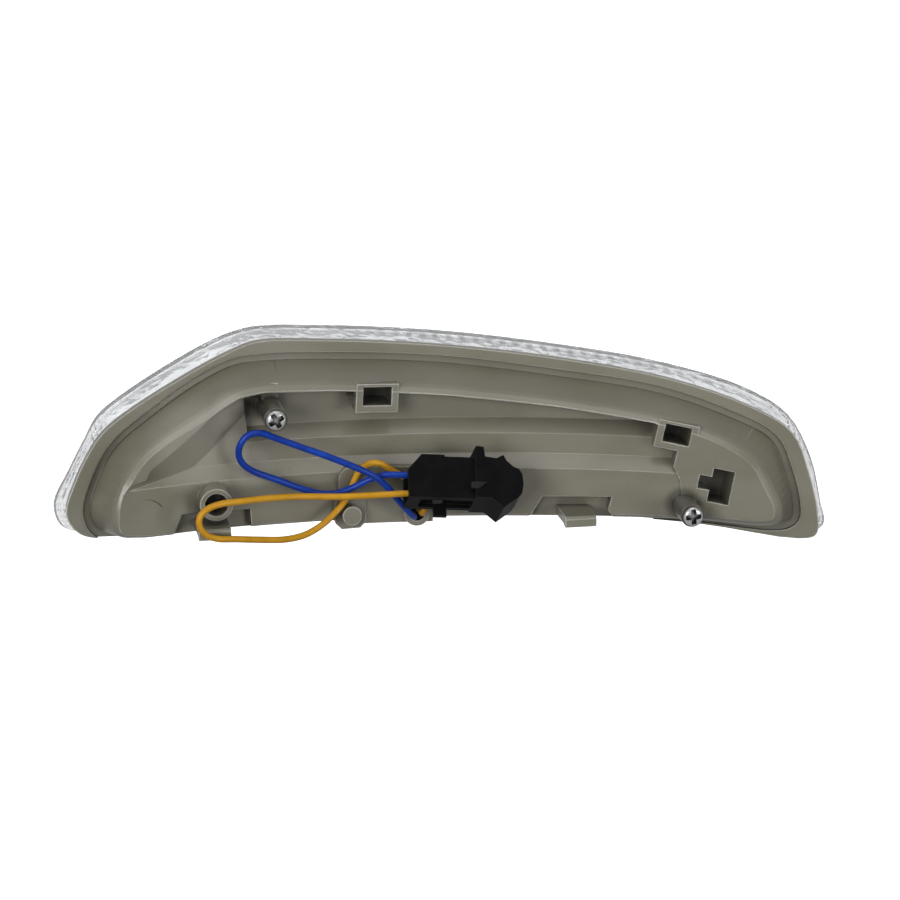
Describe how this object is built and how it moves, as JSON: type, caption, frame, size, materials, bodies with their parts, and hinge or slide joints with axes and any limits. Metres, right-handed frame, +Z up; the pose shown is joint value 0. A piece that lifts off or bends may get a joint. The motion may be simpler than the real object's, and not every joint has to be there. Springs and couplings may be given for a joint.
{
  "type": "door mirror side repeater lamp",
  "caption": "Bent side repeater lamp for a door mirror: moulded housing with bosses and clip sockets, clear lens, lit board inside, wires and a connector.",
  "frame": {"origin": "centre of the locating bore's rim, on the bore's axis", "axes": "+X along the lamp to the right as seen from behind, +Y towards the lens, +Z up; the locating bore opens along -Y"},
  "size_m": [0.2012, 0.0497, 0.0585],
  "materials": {
    "housing": "semi-gloss moulded grey-beige plastic",
    "lens": "clear moulded plastic, polished",
    "reflector": "gloss white",
    "board": "green solder mask",
    "led": "yellow resin",
    "chip": "matt black resin",
    "lead": "bare copper",
    "screw": "bright zinc",
    "seal": "matt",
    "wire_blue": "satin insulation",
    "wire_orange": "satin insulation",
    "plug_body": "satin black",
    "plug_hood": "satin black",
    "plug_lock": "matt dark grey",
    "terminal": "tinned brass"
  },
  "bodies": {
    "root": {"housing": "housing", "lens": "lens", "reflector": "reflector", "circuit_board": "board", "led_1": "led", "led_2": "led", "led_3": "led", "led_4": "led", "led_5": "led", "resistor_1": "chip", "resistor_2": "chip", "resistor_3": "chip", "diode": "chip", "board_leads": "lead", "screw_left": "screw", "screw_right": "screw", "wire_seal": "seal", "wire_blue": "wire_blue", "wire_orange": "wire_orange", "plug_body": "plug_body", "plug_hood": "plug_hood", "plug_lock": "plug_lock", "terminal_1": "terminal", "terminal_2": "terminal"}
  },
  "joints": []
}
